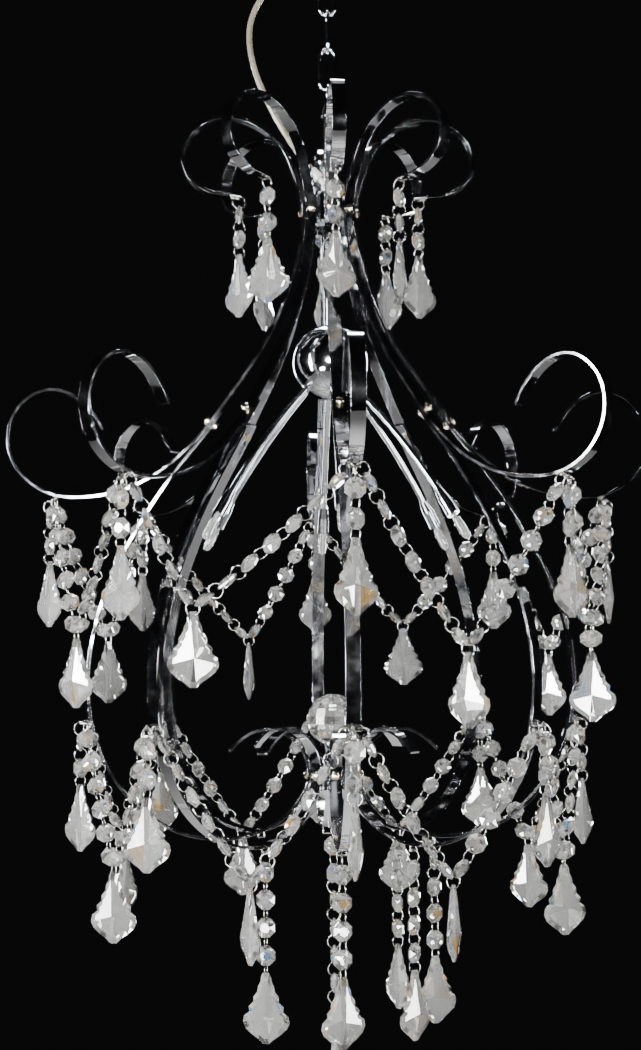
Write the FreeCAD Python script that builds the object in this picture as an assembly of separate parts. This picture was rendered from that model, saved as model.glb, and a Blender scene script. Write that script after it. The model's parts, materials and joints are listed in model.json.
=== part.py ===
import FreeCAD, Part
import os
from math import atan2, cos, degrees, hypot, pi, radians, sin, sqrt, tan
from FreeCAD import Matrix, Vector

# Crystal chandelier: eight scrolled flat-bar arms and a cage of eight bowed
# ribs hang on a short chain, dressed with octagon bead strings and swags.
# Millimetres, +Z up.  The origin is on the ceiling, on the chandelier's axis.
# Heights in this file are measured from the cage's widest circle, which hangs
# CEILING_HEIGHT under the ceiling; every piece is lowered by that much when
# it is written.  Radii are measured from the chandelier's axis.

# ---------------------------------------------------------------- driving sizes
CEILING_HEIGHT = 600.0
ARM_COUNT = 8
LAMP_COUNT = 6
STRIP_WIDTH = 10.0
STRIP_THICKNESS = 2.0
NECK_RADIUS = 19.0
NECK_HEIGHT = 361.0
HUB_RADIUS = 18.0
HUB_HEIGHT = -82.0
BALL_RADIUS = 30.0
BALL_HEIGHT = 240.0
STEM_RADIUS = 4.5
CRYSTAL_BALL_RADIUS = 20.0
CRYSTAL_BALL_HEIGHT = -40.0
SCREW_RADIUS = 1.5
SCREW_HEAD_RADIUS = 3.0
CHAIN_WIRE_RADIUS = 1.2
CHAIN_LINK_LENGTH = 36.0
CHAIN_LINK_WIDTH = 15.0
CHAIN_CLEARANCE = 0.2
FLEX_DIAMETER = 4.8

# crystals: octagon beads on wire rings, 20 mm from one bead to the next
BEAD_ACROSS_FLATS = 14.0
BEAD_HALF_THICKNESS = 3.0
BEAD_EDGE_HALF = 0.7
BEAD_TABLE_RADIUS = 3.2
BEAD_PITCH = 20.0
HOLE_RADIUS = 1.0
RING_RADIUS = 5.05
RING_WIRE = 0.45
HOOK_WIRE = 0.6
HOOK_HALF_SPAN = 3.4
HANG_CLEARANCE = 0.10
HANG_DROP = RING_RADIUS - RING_WIRE - HOOK_WIRE - HANG_CLEARANCE
HOLE_SPACING = BEAD_PITCH - 2 * RING_RADIUS - 2 * HANG_CLEARANCE

UP = Vector(0, 0, 1)
os.makedirs("parts", exist_ok=True)


# ---------------------------------------------------------------- small helpers
def polar(radius, height, turn=0.0, side=0.0):
    """A point: turn is in degrees from the front (-Y) towards +X."""
    a = radians(turn)
    return Vector(radius * sin(a) + side * cos(a), -radius * cos(a) + side * sin(a), height)


def outward(turn):
    return polar(1.0, 0.0, turn)


def sideways(turn):
    return polar(0.0, 0.0, turn, 1.0)


def turned(shape, turn):
    copy = shape.copy()
    copy.rotate(Vector(0, 0, 0), UP, turn)
    return copy


def placed(shape, place, x_axis, z_axis):
    """Copy of a shape built about the origin, with its X and Z laid along two directions."""
    x_dir = Vector(x_axis).normalize()
    z_dir = Vector(z_axis).normalize()
    y_dir = z_dir.cross(x_dir)
    m = Matrix(x_dir.x, y_dir.x, z_dir.x, place.x,
               x_dir.y, y_dir.y, z_dir.y, place.y,
               x_dir.z, y_dir.z, z_dir.z, place.z, 0, 0, 0, 1)
    copy = shape.copy()
    copy.Placement = FreeCAD.Placement(m).multiply(copy.Placement)
    return copy


def rod(start, end, radius):
    run = end - start
    return Part.makeCylinder(radius, run.Length, start, run)


def revolved(outline):
    """Solid of revolution about the axis, from (radius, height) corners."""
    wire = Part.makePolygon([Vector(r, 0, z) for r, z in outline + outline[:1]])
    return Part.Face(wire).revolve(Vector(0, 0, 0), UP, 360)


def polyhedron(layers):
    """Closed flat-faced solid from equal closed polygons, one per layer."""
    faces = []
    for ends in (layers[0], layers[-1]):
        faces.append(Part.Face(Part.makePolygon(ends + ends[:1])))
    for low, high in zip(layers[:-1], layers[1:]):
        for i in range(len(low)):
            j = (i + 1) % len(low)
            faces.append(Part.Face(Part.makePolygon([low[i], low[j], high[j], high[i], low[i]])))
    solid = Part.Solid(Part.Shell(faces))
    return solid if solid.Volume > 0 else solid.reversed()


def write(node, solids):
    solids = solids if isinstance(solids, list) else [solids]
    singles = [s for shape in solids for s in shape.Solids]
    shape = singles[0] if len(singles) == 1 else Part.makeCompound(singles)
    shape.translate(Vector(0, 0, -CEILING_HEIGHT))
    shape.exportStep("parts/%s.step" % node)
    print("%-22s %3d solids %10.1f mm3" % (node, len(singles), shape.Volume))


# ---------------------------------------------------------------- flat-bar strips
def curve_through(points):
    spline = Part.BSplineCurve()
    spline.interpolate([Vector(r, 0, z) for r, z in points])
    return spline


def strip(points, holes=()):
    """Flat bar bent along (radius, height) points, in the plane of +X, drilled at some points."""
    middle = curve_through(points)
    first, last = middle.FirstParameter, middle.LastParameter
    steps = 4 * len(points)
    sides = []
    for offset in (-STRIP_THICKNESS / 2, STRIP_THICKNESS / 2):
        line = []
        for i in range(steps + 1):
            u = first + (last - first) * i / steps
            along = middle.tangent(u)[0]
            line.append(middle.value(u) + Vector(-along.z, 0, along.x) * offset)
        spline = Part.BSplineCurve()
        spline.interpolate(line)
        sides.append(spline.toShape())
    ends = []
    for i in (0, -1):
        a, b = (s.Vertexes[i].Point for s in sides)
        ends.append(Part.makeLine(a, b))
    wire = Part.Wire(Part.__sortEdges__(sides + ends))
    bar = Part.Face(wire).extrude(Vector(0, STRIP_WIDTH, 0))
    bar.translate(Vector(0, -STRIP_WIDTH / 2, 0))
    for place, direction in holes:
        drill = rod(place - direction * 6, place + direction * 6, SCREW_RADIUS + 0.1)
        bar = bar.cut(drill)
    return bar


# one arm: top curl, down past the neck, out along the sweep, then the scroll
ARM_PATH = [(78, 374), (91, 375.5), (104, 381), (113, 391), (116, 404), (113, 418), (104, 429),
            (90, 436), (75, 437), (60, 432.5), (46, 423), (34.5, 408), (26.5, 388),
            (20.1, 361), (22, 341), (27, 318), (34, 295), (44, 270), (57, 246), (73, 222),
            (88, 201), (101, 183.5), (115, 169), (130, 156), (146, 146), (162, 139), (178, 134.8),
            (194, 133), (209, 133.5), (224, 138), (237, 147), (247, 161), (251, 178),
            (248, 195), (239, 208), (226, 216), (211, 216.5), (197, 210), (186, 199), (178, 186)]
# one rib: from under the arm's sweep, round the cage, up to the hub and its small curl
RIB_PATH = [(86.1, 199.8), (99.1, 182.0), (114, 163.5), (129, 143.5), (144, 121), (158, 96.5),
            (171, 70), (181, 42), (187, 14), (188.8, -14), (185.5, -40), (178, -64),
            (167, -85), (151, -104), (133, -117.5), (115, -125.5), (96, -129.3), (77, -129.5),
            (58, -125), (40, -115.5), (27, -102), (HUB_RADIUS + 1.15, HUB_HEIGHT), (24.5, -63),
            (35, -52), (48, -47), (61, -48.5), (72, -55), (80, -63)]
JOINT_PLACE = (94.0, 191.7)
JOINT_DIRECTION = Vector(0.81, 0, 0.586)


def arm_strip():
    neck_screw = (Vector(NECK_RADIUS, 0, NECK_HEIGHT), Vector(1, 0, 0))
    joint_screw = (Vector(JOINT_PLACE[0], 0, JOINT_PLACE[1]), JOINT_DIRECTION)
    return strip(ARM_PATH, [neck_screw, joint_screw])


def rib_strip():
    hub_screw = (Vector(HUB_RADIUS, 0, HUB_HEIGHT), Vector(1, 0, 0))
    joint_screw = (Vector(JOINT_PLACE[0], 0, JOINT_PLACE[1]), JOINT_DIRECTION)
    return strip(RIB_PATH, [hub_screw, joint_screw])


def dome_screw(grip):
    """Small domed screw: its head's underside is at the origin and it points along -X."""
    shank = rod(Vector(0, 0, 0), Vector(-grip, 0, 0), SCREW_RADIUS)
    ball = Part.makeSphere(4.0, Vector(-1.6, 0, 0))
    dome = ball.common(Part.makeCylinder(SCREW_HEAD_RADIUS, 5, Vector(0, 0, 0), Vector(1, 0, 0)))
    return shank.fuse(dome).removeSplitter()


def lock_nut():
    return Part.makeCylinder(2.9, 2.2, Vector(0, 0, 0), Vector(-1, 0, 0)).cut(
        Part.makeCylinder(SCREW_RADIUS, 2.2, Vector(0, 0, 0), Vector(-1, 0, 0)))


arm = arm_strip()
rib = rib_strip()
turns = [i * 360.0 / ARM_COUNT for i in range(ARM_COUNT)]
# strips and screws are drawn in the plane of +X and carried to the front first
TO_FRONT = -90.0
write("scroll_arms", [turned(arm, TO_FRONT + t) for t in turns])
write("cage_ribs", [turned(rib, TO_FRONT + t) for t in turns])

# a head's flat underside stands off the middle of its strip by the strip's own bow
BOW = 0.7
JOINT_STAND_OFF = STRIP_THICKNESS + 1.0
neck_head = STRIP_THICKNESS + NECK_RADIUS + BOW
hub_head = STRIP_THICKNESS + HUB_RADIUS + BOW
screws = []
grip_in_metal = 8.0
JOINT_GRIP = 2 * JOINT_STAND_OFF + 2.4
for t in turns:
    neck_screw = placed(dome_screw(grip_in_metal), Vector(neck_head, 0, NECK_HEIGHT),
                        Vector(1, 0, 0), UP)
    hub_screw = placed(dome_screw(grip_in_metal), Vector(hub_head, 0, HUB_HEIGHT),
                       Vector(1, 0, 0), UP)
    joint_middle = Vector(JOINT_PLACE[0], 0, JOINT_PLACE[1])
    across = Vector(-JOINT_DIRECTION.z, 0, JOINT_DIRECTION.x)
    joint_screw = placed(dome_screw(JOINT_GRIP), joint_middle + JOINT_DIRECTION * JOINT_STAND_OFF,
                         JOINT_DIRECTION, across)
    nut = placed(lock_nut(), joint_middle - JOINT_DIRECTION * JOINT_STAND_OFF, JOINT_DIRECTION, across)
    for piece in (neck_screw, hub_screw, joint_screw, nut):
        screws.append(turned(piece, TO_FRONT + t))
write("strip_screws", screws)


# ---------------------------------------------------------------- neck, stem and hub
def screw_holes(body, radius, height):
    for t in turns:
        start = polar(radius - grip_in_metal, height, t)
        body = body.cut(rod(start, polar(radius + 3, height, t), SCREW_RADIUS))
    return body


neck = revolved([(STEM_RADIUS, 347), (15, 347), (NECK_RADIUS, 351), (NECK_RADIUS, 371),
                 (15, 375), (10, 378), (STEM_RADIUS, 378)])
write("neck_collar", screw_holes(neck, NECK_RADIUS + 2, NECK_HEIGHT))

STEM_TOP = 446.0
stem_bottom = BALL_HEIGHT + BALL_RADIUS - 8
stem = rod(Vector(0, 0, stem_bottom), Vector(0, 0, STEM_TOP - 6), STEM_RADIUS)
stem = stem.cut(rod(Vector(0, 0, stem_bottom), Vector(0, 0, STEM_TOP), STEM_RADIUS - 1))

HUB_TOP = HUB_HEIGHT + 11
HUB_BASE = HUB_HEIGHT - 11
hub = revolved([(3, HUB_BASE - 4), (10, HUB_BASE - 7), (15, HUB_BASE - 4), (HUB_RADIUS, HUB_BASE),
                (HUB_RADIUS, HUB_TOP - 4), (15, HUB_TOP), (3, HUB_TOP)])
write("bottom_hub", screw_holes(hub, HUB_RADIUS + 2, HUB_HEIGHT))
pin_top = CRYSTAL_BALL_HEIGHT - CRYSTAL_BALL_RADIUS + 6
seat_height = CRYSTAL_BALL_HEIGHT - CRYSTAL_BALL_RADIUS + 0.6
ball_stem = rod(Vector(0, 0, HUB_BASE - 6), Vector(0, 0, pin_top), 3.0)
ball_seat = revolved([(3, HUB_TOP), (7, HUB_TOP), (4.5, HUB_TOP + 3), (4.5, HUB_TOP + 6), (7.5, seat_height),
                      (3, seat_height)])
write("crystal_ball_stem", ball_stem.fuse(ball_seat).removeSplitter())

# the faceted crystal ball: rings of flats between a small top and bottom table
BALL_ROWS = 9
BALL_FLATS = 16


def faceted_ball(radius, rows, flats):
    layers = []
    for row in range(rows + 1):
        tilt = radians(-78 + 156.0 * row / rows)
        layers.append([Vector(radius * cos(tilt) * cos(2 * pi * k / flats),
                              radius * cos(tilt) * sin(2 * pi * k / flats),
                              radius * sin(tilt)) for k in range(flats)])
    return polyhedron(layers)


crystal_ball = faceted_ball(CRYSTAL_BALL_RADIUS, BALL_ROWS, BALL_FLATS)
crystal_ball.translate(Vector(0, 0, CRYSTAL_BALL_HEIGHT))
socket = rod(Vector(0, 0, CRYSTAL_BALL_HEIGHT - 25), Vector(0, 0, pin_top + 0.2), 3.05)
seat_cut = rod(Vector(0, 0, CRYSTAL_BALL_HEIGHT - 25), Vector(0, 0, seat_height), 10)
write("crystal_ball", crystal_ball.cut(socket).cut(seat_cut))

# ---------------------------------------------------------------- lamp ball, tubes and lamps
SHELL = 1.5
LAMP_TUBE_RADIUS = 2.3
LAMP_DIP = 45.0


def half_shell(sign):
    outer = Part.makeSphere(BALL_RADIUS, Vector(0, 0, BALL_HEIGHT))
    inner = Part.makeSphere(BALL_RADIUS - SHELL, Vector(0, 0, BALL_HEIGHT))
    low = BALL_HEIGHT if sign > 0 else BALL_HEIGHT - 40
    block = Part.makeBox(80, 80, 40, Vector(-40, -40, low))
    return outer.cut(inner).common(block)


lamp_turns = [i * 360.0 / LAMP_COUNT for i in range(LAMP_COUNT)]
TUBE_STRAIGHT = 8.0
TUBE_BEND_RADIUS = 515.0
TUBE_TURN = 12.6
TUBE_START = (BALL_RADIUS - 6) * cos(radians(LAMP_DIP))
tube_start_height = BALL_HEIGHT - (BALL_RADIUS - 6) * sin(radians(LAMP_DIP))


def tube_line():
    """Straight out of the ball, then a gentle bend down to the lamp holder."""
    dip = radians(LAMP_DIP)
    a = Vector(TUBE_START, 0, tube_start_height)
    b = a + Vector(cos(dip), 0, -sin(dip)) * TUBE_STRAIGHT
    centre = b + Vector(-sin(dip), 0, -cos(dip)) * TUBE_BEND_RADIUS
    end_dip = radians(LAMP_DIP + TUBE_TURN)
    mid_dip = radians(LAMP_DIP + TUBE_TURN / 2)
    mid = centre + Vector(sin(mid_dip), 0, cos(mid_dip)) * TUBE_BEND_RADIUS
    c = centre + Vector(sin(end_dip), 0, cos(end_dip)) * TUBE_BEND_RADIUS
    return a, b, mid, c, Vector(cos(end_dip), 0, -sin(end_dip))


t_a, t_b, t_mid, t_c, lamp_axis = tube_line()
tube_wire = Part.Wire([Part.makeLine(t_a, t_b), Part.Arc(t_b, t_mid, t_c).toShape()])


def swept_tube(wire, start, direction, radius):
    circle = Part.Wire(Part.makeCircle(radius, start, direction))
    return wire.makePipeShell([circle], True, False)


tube_axis = (t_b - t_a).normalize()
outer_tube = swept_tube(tube_wire, t_a, tube_axis, LAMP_TUBE_RADIUS)
bore_tube = swept_tube(tube_wire, t_a, tube_axis, LAMP_TUBE_RADIUS - 0.7)
lamp_tube = outer_tube.cut(bore_tube)

# holder and capsule are drawn pointing along +Z from the tube's end, then laid on its axis
HOLDER_LENGTH = 23.0
SLEEVE_RADIUS = LAMP_TUBE_RADIUS + 0.1
holder_outline = [(SLEEVE_RADIUS, -6), (SLEEVE_RADIUS + 0.7, -6), (4.5, 3), (4.8, HOLDER_LENGTH - 6),
                  (4.0, HOLDER_LENGTH - 6), (4.0, 6), (1.6, 4), (1.6, 0.05), (SLEEVE_RADIUS, 0.05)]
holder = revolved(holder_outline)
capsule_outline = [(0, 6.2), (2.4, 6.2), (3.3, 8), (3.3, 20), (3.6, 24), (3.6, 35), (2.6, 38),
                   (0, 39.4)]
capsule = revolved(capsule_outline)
side_axis = Vector(0, 1, 0).cross(lamp_axis)
holder = placed(holder, t_c, side_axis, lamp_axis)
capsule = placed(capsule, t_c, side_axis, lamp_axis)
write("lamp_tubes", [turned(lamp_tube, TO_FRONT + t) for t in lamp_turns])
write("lamp_holders", [turned(holder, TO_FRONT + t) for t in lamp_turns])
write("capsule_lamps", [turned(capsule, TO_FRONT + t) for t in lamp_turns])

upper_shell = half_shell(1).cut(rod(Vector(0, 0, BALL_HEIGHT), Vector(0, 0, 300), STEM_RADIUS))
lower_shell = half_shell(-1)
for t in lamp_turns:
    tube_hole = rod(t_a, t_a + tube_axis * 20, LAMP_TUBE_RADIUS)
    lower_shell = lower_shell.cut(turned(tube_hole, TO_FRONT + t))
write("ball_upper_shell", upper_shell)
write("ball_lower_shell", lower_shell)
# the block that joins the supply to the lamp leads, inside the ball
block = Part.makeBox(16, 10, 9, Vector(-8, -5, BALL_HEIGHT - 5))
for x in (-5, 0, 5):
    block = block.cut(rod(Vector(x, -6, BALL_HEIGHT - 1), Vector(x, 6, BALL_HEIGHT - 1), 1.3))
write("terminal_block", block)

# ---------------------------------------------------------------- chain and ceiling fittings


def chain_link(top, facing):
    """Oval link of round wire; top is the outside of its upper end, facing its flat side."""
    bend = CHAIN_LINK_WIDTH / 2 - CHAIN_WIRE_RADIUS
    half_run = CHAIN_LINK_LENGTH / 2 - CHAIN_LINK_WIDTH / 2
    middle = Vector(0, 0, top - CHAIN_LINK_LENGTH / 2)
    side = facing.cross(UP)
    pieces = []
    for sign in (1, -1):
        end = middle + UP * half_run * sign
        bow = Part.makeTorus(bend, CHAIN_WIRE_RADIUS, end, facing)
        keep = Part.makeBox(60, 60, 30)
        keep.translate(Vector(-30, -30, end.z if sign > 0 else end.z - 30))
        pieces.append(bow.common(keep))
        foot = middle + side * bend * sign
        pieces.append(rod(foot - UP * half_run, foot + UP * half_run, CHAIN_WIRE_RADIUS))
    link = pieces[0].fuse(pieces[1:])
    return link.removeSplitter()


FRONT = Vector(0, 1, 0)
SIDE = Vector(1, 0, 0)
link_pitch = CHAIN_LINK_LENGTH - 4 * CHAIN_WIRE_RADIUS - CHAIN_CLEARANCE
LINK_TOP = 559.0
write("chain_link_upper", chain_link(LINK_TOP, FRONT))
write("chain_link_middle", chain_link(LINK_TOP - link_pitch, SIDE))
write("chain_link_lower", chain_link(LINK_TOP - 2 * link_pitch, FRONT))
chain_end = LINK_TOP - 2 * link_pitch - CHAIN_LINK_LENGTH

EYE_RADIUS = 6.8
wire_step = 2 * CHAIN_WIRE_RADIUS + CHAIN_CLEARANCE
# the stem's eye holds the lowest link's bottom wire
eye_top = chain_end + CHAIN_WIRE_RADIUS + wire_step
stem_eye = Part.makeTorus(EYE_RADIUS, CHAIN_WIRE_RADIUS, Vector(0, 0, eye_top - EYE_RADIUS), SIDE)
eye_foot = eye_top - 2 * EYE_RADIUS
stem_cap = revolved([(0, STEM_TOP - 16), (3.5, STEM_TOP - 16), (3.5, STEM_TOP - 6), (6, STEM_TOP - 6),
                     (6, STEM_TOP - 2), (3.5, eye_foot + 0.6), (0, eye_foot + 0.6)])
write("stem_loop", stem_eye.fuse(stem_cap).removeSplitter())
# the ceiling loop holds the top link's upper wire; the chandelier swings on it
swing_height = LINK_TOP - CHAIN_WIRE_RADIUS - wire_step
CANOPY_BOTTOM = 577.0
loop_ring = Part.makeTorus(EYE_RADIUS, CHAIN_WIRE_RADIUS,
                           Vector(0, 0, swing_height + EYE_RADIUS), SIDE)
loop_top = swing_height + 2 * EYE_RADIUS
loop_neck = revolved([(0, loop_top - 0.6), (3, loop_top - 0.6), (7, CANOPY_BOTTOM - 4),
                      (7, CANOPY_BOTTOM), (3, CANOPY_BOTTOM), (3, CANOPY_BOTTOM + 8),
                      (0, CANOPY_BOTTOM + 8)])
write("ceiling_loop", loop_ring.fuse(loop_neck).removeSplitter())

CANOPY_RADIUS = 60.0
CANOPY_WALL = 1.2
canopy_corners = [(5, 0), (30, 0), (46, 2.5), (55, 8), (59, 15), (CANOPY_RADIUS, 23)]
outside = [(r, CANOPY_BOTTOM + z) for r, z in canopy_corners]
inside = [(max(5, r - CANOPY_WALL), CANOPY_BOTTOM + z + CANOPY_WALL) for r, z in canopy_corners[:-1]]
inside.append((CANOPY_RADIUS - CANOPY_WALL, CEILING_HEIGHT))
canopy = revolved(outside + inside[::-1])
GLAND_SIDE = -38.0
canopy_gland_hole = rod(Vector(GLAND_SIDE, 0, 560), Vector(GLAND_SIDE, 0, 590), 4.0)
write("ceiling_canopy", canopy.cut(canopy_gland_hole))

# the bracket is screwed to the ceiling through two holes, and carries the threaded stud
BRACKET_HOLE_SPACING = 70.0
BRACKET_HOLE_RADIUS = 2.5
bracket = Part.makeBox(96, 18, 2, Vector(-48, -9, CEILING_HEIGHT - 2))
for sign in (-1, 1):
    x = sign * BRACKET_HOLE_SPACING / 2
    hole = rod(Vector(x, 0, CEILING_HEIGHT - 5), Vector(x, 0, CEILING_HEIGHT + 5),
               BRACKET_HOLE_RADIUS)
    bracket = bracket.cut(hole)
stud_low = CANOPY_BOTTOM + CANOPY_WALL + 0.2
bracket = bracket.cut(rod(Vector(0, 0, 590), Vector(0, 0, 605), 5))
write("ceiling_bracket", bracket)
stud = rod(Vector(0, 0, stud_low), Vector(0, 0, CEILING_HEIGHT), 5)
write("canopy_stud", stud.cut(rod(Vector(0, 0, stud_low), Vector(0, 0, CEILING_HEIGHT), 3)))
nut_blank = Part.Face(Part.makePolygon([Vector(9 * cos(i * pi / 3), 9 * sin(i * pi / 3), 0)
                                        for i in range(7)])).extrude(Vector(0, 0, 4))
nuts = []
for low in (CANOPY_BOTTOM + CANOPY_WALL + 0.6, CEILING_HEIGHT - 6.05):
    nut = nut_blank.copy()
    nut.translate(Vector(0, 0, low))
    nuts.append(nut.cut(rod(Vector(0, 0, low - 1), Vector(0, 0, low + 6), 5)))
write("canopy_nuts", nuts)
write("lamp_transformer", Part.makeBox(50, 24, 14, Vector(-25, -38, CANOPY_BOTTOM + 6)))

# ---------------------------------------------------------------- supply flex
# its route, from the canopy's gland down to the gland on the stem
FLEX_ROUTE = [(-38, 0, 568), (-43, 2, 552), (-54, 3, 538), (-62.5, 3, 519), (-63, 1, 497),
              (-58, -1, 474), (-48.5, -2, 451), (-37, -1.5, 429), (-24.5, -0.5, 410),
              (-13.3, 0, 396.5)]


def arcs_and_runs(route):
    """Straight runs joined by tangent arcs as large as their two runs allow."""
    points = [Vector(*p) for p in route]
    edges = []
    radii = []
    here = points[0]
    for before, corner, after in zip(points[:-2], points[1:-1], points[2:]):
        run_in, run_out = corner - before, after - corner
        turn = run_in.getAngle(run_out)
        cut = 0.45 * min(run_in.Length, run_out.Length)
        radii.append(cut / tan(turn / 2))
        a = corner - Vector(run_in).normalize() * cut
        b = corner + Vector(run_out).normalize() * cut
        inward = (a - corner + b - corner).normalize()
        to_centre = radii[-1] / cos(turn / 2)
        middle = corner + inward * (to_centre - radii[-1])
        edges.append(Part.makeLine(here, a))
        edges.append(Part.Arc(a, middle, b).toShape())
        here = b
    edges.append(Part.makeLine(here, points[-1]))
    return Part.Wire(edges), radii


flex_wire, flex_radii = arcs_and_runs(FLEX_ROUTE)
first_run = Vector(*FLEX_ROUTE[1]) - Vector(*FLEX_ROUTE[0])
flex = swept_tube(flex_wire, Vector(*FLEX_ROUTE[0]), first_run, FLEX_DIAMETER / 2)
print("flex radii over diameter:", ["%.1f" % (r / FLEX_DIAMETER) for r in flex_radii])
print("flex length %.1f, volume over section times length %.4f"
      % (flex_wire.Length, flex.Volume / (pi * (FLEX_DIAMETER / 2) ** 2 * flex_wire.Length)))
write("supply_flex", flex)

flex_start, flex_end = Vector(*FLEX_ROUTE[0]), Vector(*FLEX_ROUTE[-1])
start_axis = Vector(first_run).normalize()
gland_nut = Part.makeCone(3.4, 6.0, 6.0, flex_start, start_axis * -1)
gland_nut = gland_nut.fuse(Part.makeCylinder(6.0, 3.5, flex_start - start_axis * 6, start_axis * -1))
gland_top = rod(Vector(GLAND_SIDE, 0, CANOPY_BOTTOM - 1), Vector(GLAND_SIDE, 0, 583), 3.9)
gland = gland_nut.fuse(gland_top)
gland = gland.cut(canopy)
write("canopy_cable_gland", sorted(gland.Solids, key=lambda s: -s.Volume)[0])

last_run = flex_end - Vector(*FLEX_ROUTE[-2])
end_axis = Vector(last_run).normalize()
stem_gland = Part.makeCone(3.2, 4.4, 9.0, flex_end, end_axis)
stem_gland = stem_gland.fuse(rod(flex_end + end_axis * 9, flex_end + end_axis * 16, 2.0))
collar_reach = rod(Vector(0, 0, 380), Vector(0, 0, 450), STEM_RADIUS)
stem_gland = stem_gland.cut(collar_reach)
stem_gland = sorted(stem_gland.Solids, key=lambda s: -s.Volume)[0]
write("stem_cable_gland", stem_gland)
entry = rod(flex_end + end_axis * 9, flex_end + end_axis * 18, 2.4)
write("stem_tube", stem.cut(entry))


# ---------------------------------------------------------------- crystals
def octagon(radius, height):
    return [Vector(radius * cos(radians(22.5 + 45 * k)), radius * sin(radians(22.5 + 45 * k)),
                   height) for k in range(8)]


def bead_master():
    """Octagon bead lying flat, its two holes along Y."""
    corner = BEAD_ACROSS_FLATS / 2 / cos(radians(22.5))
    bead = polyhedron([octagon(BEAD_TABLE_RADIUS, -BEAD_HALF_THICKNESS),
                       octagon(corner, -BEAD_EDGE_HALF), octagon(corner, BEAD_EDGE_HALF),
                       octagon(BEAD_TABLE_RADIUS, BEAD_HALF_THICKNESS)])
    for y in (-HOLE_SPACING / 2, HOLE_SPACING / 2):
        bead = bead.cut(rod(Vector(0, y, -5), Vector(0, y, 5), HOLE_RADIUS))
    return bead


# half outline of the leaf-shaped drop: (half width, height above its hole)
DROP_OUTLINE = [(2.2, 3.0), (3.6, 0.0), (6.0, -7.0), (9.5, -14.5), (13.2, -21.5), (16.6, -28.0),
                (17.4, -32.5), (15.4, -37.0), (10.6, -41.0), (6.0, -44.0), (2.2, -47.5)]
DROP_EDGE_HALF = 0.8
DROP_HALF_THICKNESS = 4.5
DROP_TABLE_SCALE = 0.5
DROP_TABLE_CENTRE = -27.0


def drop_layer(scale, height):
    right = [(w * scale, DROP_TABLE_CENTRE + (y - DROP_TABLE_CENTRE) * scale)
             for w, y in DROP_OUTLINE]
    left = [(-w, y) for w, y in right[::-1]]
    return [Vector(x, y, height) for x, y in right + left]


def drop_master():
    """Leaf-shaped drop lying flat, its hole at the origin and its tip towards -Y."""
    drop = polyhedron([drop_layer(DROP_TABLE_SCALE, -DROP_HALF_THICKNESS),
                       drop_layer(1.0, -DROP_EDGE_HALF), drop_layer(1.0, DROP_EDGE_HALF),
                       drop_layer(DROP_TABLE_SCALE, DROP_HALF_THICKNESS)])
    return drop.cut(rod(Vector(0, 0, -5), Vector(0, 0, 5), HOLE_RADIUS))


BEAD = bead_master()
DROP = drop_master()
RING = Part.makeTorus(RING_RADIUS, RING_WIRE)


def ring_at(centre, along, across):
    return placed(RING, centre, along, Vector(along).cross(across))


def flat_piece(master, place, along, facing):
    """A bead or drop: its Y looks back along the string, its flat side looks at facing."""
    back = Vector(along) * -1
    return placed(master, place, back.cross(Vector(facing)), facing)


def string_of_crystals(bar, turn, beads):
    """Rings, beads and a drop, hanging straight down from a hook's bar."""
    down = UP * -1
    facing = outward(turn)
    pieces = []
    ring_centre = bar + down * HANG_DROP
    for _ in range(beads):
        pieces.append(ring_at(ring_centre, down, facing))
        hole = ring_centre + down * (RING_RADIUS + HANG_CLEARANCE)
        pieces.append(flat_piece(BEAD, hole + down * HOLE_SPACING / 2, down, facing))
        ring_centre = hole + down * (HOLE_SPACING + HANG_CLEARANCE + RING_RADIUS)
    pieces.append(ring_at(ring_centre, down, facing))
    hole = ring_centre + down * (RING_RADIUS + HANG_CLEARANCE)
    pieces.append(flat_piece(DROP, hole, down, facing))
    return pieces


# hooks: small staples of wire; each ends in a cross bar that a string's ring goes round.
# Their places are (radius, height) of the bar, with the staple's direction and length.
HOOKS = {"top": (71.5, 372.9, (-0.99, -0.14), 7.6),
         "mid": (218.4, 129.6, (0.82, -0.57), 8.0),
         "lower": (194.0, -41.0, (1.0, 0.0), 8.2),
         "bottom": (77.0, -134.6, (0.0, -1.0), 5.0)}
LONG_STRING_RADIUS = 35.0
LONG_STRING_SIDE = -3.0
LONG_STRING_HEIGHT = -118.5


def bar_place(name, turn):
    radius, height = HOOKS[name][:2]
    return polar(radius, height, turn)


def staple(bar, direction, turn, reach):
    """U of wire: two legs and a cross bar, the bar's middle at a given point."""
    side = sideways(turn)
    a, b = bar - side * HOOK_HALF_SPAN, bar + side * HOOK_HALF_SPAN
    wire = rod(a, b, HOOK_WIRE)
    for corner in (a, b):
        wire = wire.fuse(Part.makeSphere(HOOK_WIRE, corner))
        wire = wire.fuse(rod(corner, corner - direction * reach, HOOK_WIRE))
    return wire.removeSplitter()


def hook(name, turn):
    radius, height, (run, rise), reach = HOOKS[name]
    direction = (outward(turn) * run + UP * rise).normalize()
    made = staple(bar_place(name, turn), direction, turn, reach)
    return made


# a staple's legs go through the bar they hang from, so what is inside it is cut away
hooks = []
BOTTOM_STRING_TURNS = [0, 45, 90, 135, 315]
for t in turns:
    for name in HOOKS:
        metal = arm if name in ("top", "mid") else rib
        made = hook(name, t).cut(turned(metal, TO_FRONT + t))
        hooks.append(sorted(made.Solids, key=lambda s: -s.Volume)[0])
long_bar = polar(LONG_STRING_RADIUS, LONG_STRING_HEIGHT, 0, LONG_STRING_SIDE)
long_hook = staple(long_bar, UP * -1, 0, 8.0).cut(turned(rib, TO_FRONT))
hooks.append(sorted(long_hook.Solids, key=lambda s: -s.Volume)[0])
write("crystal_hooks", hooks)

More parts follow.
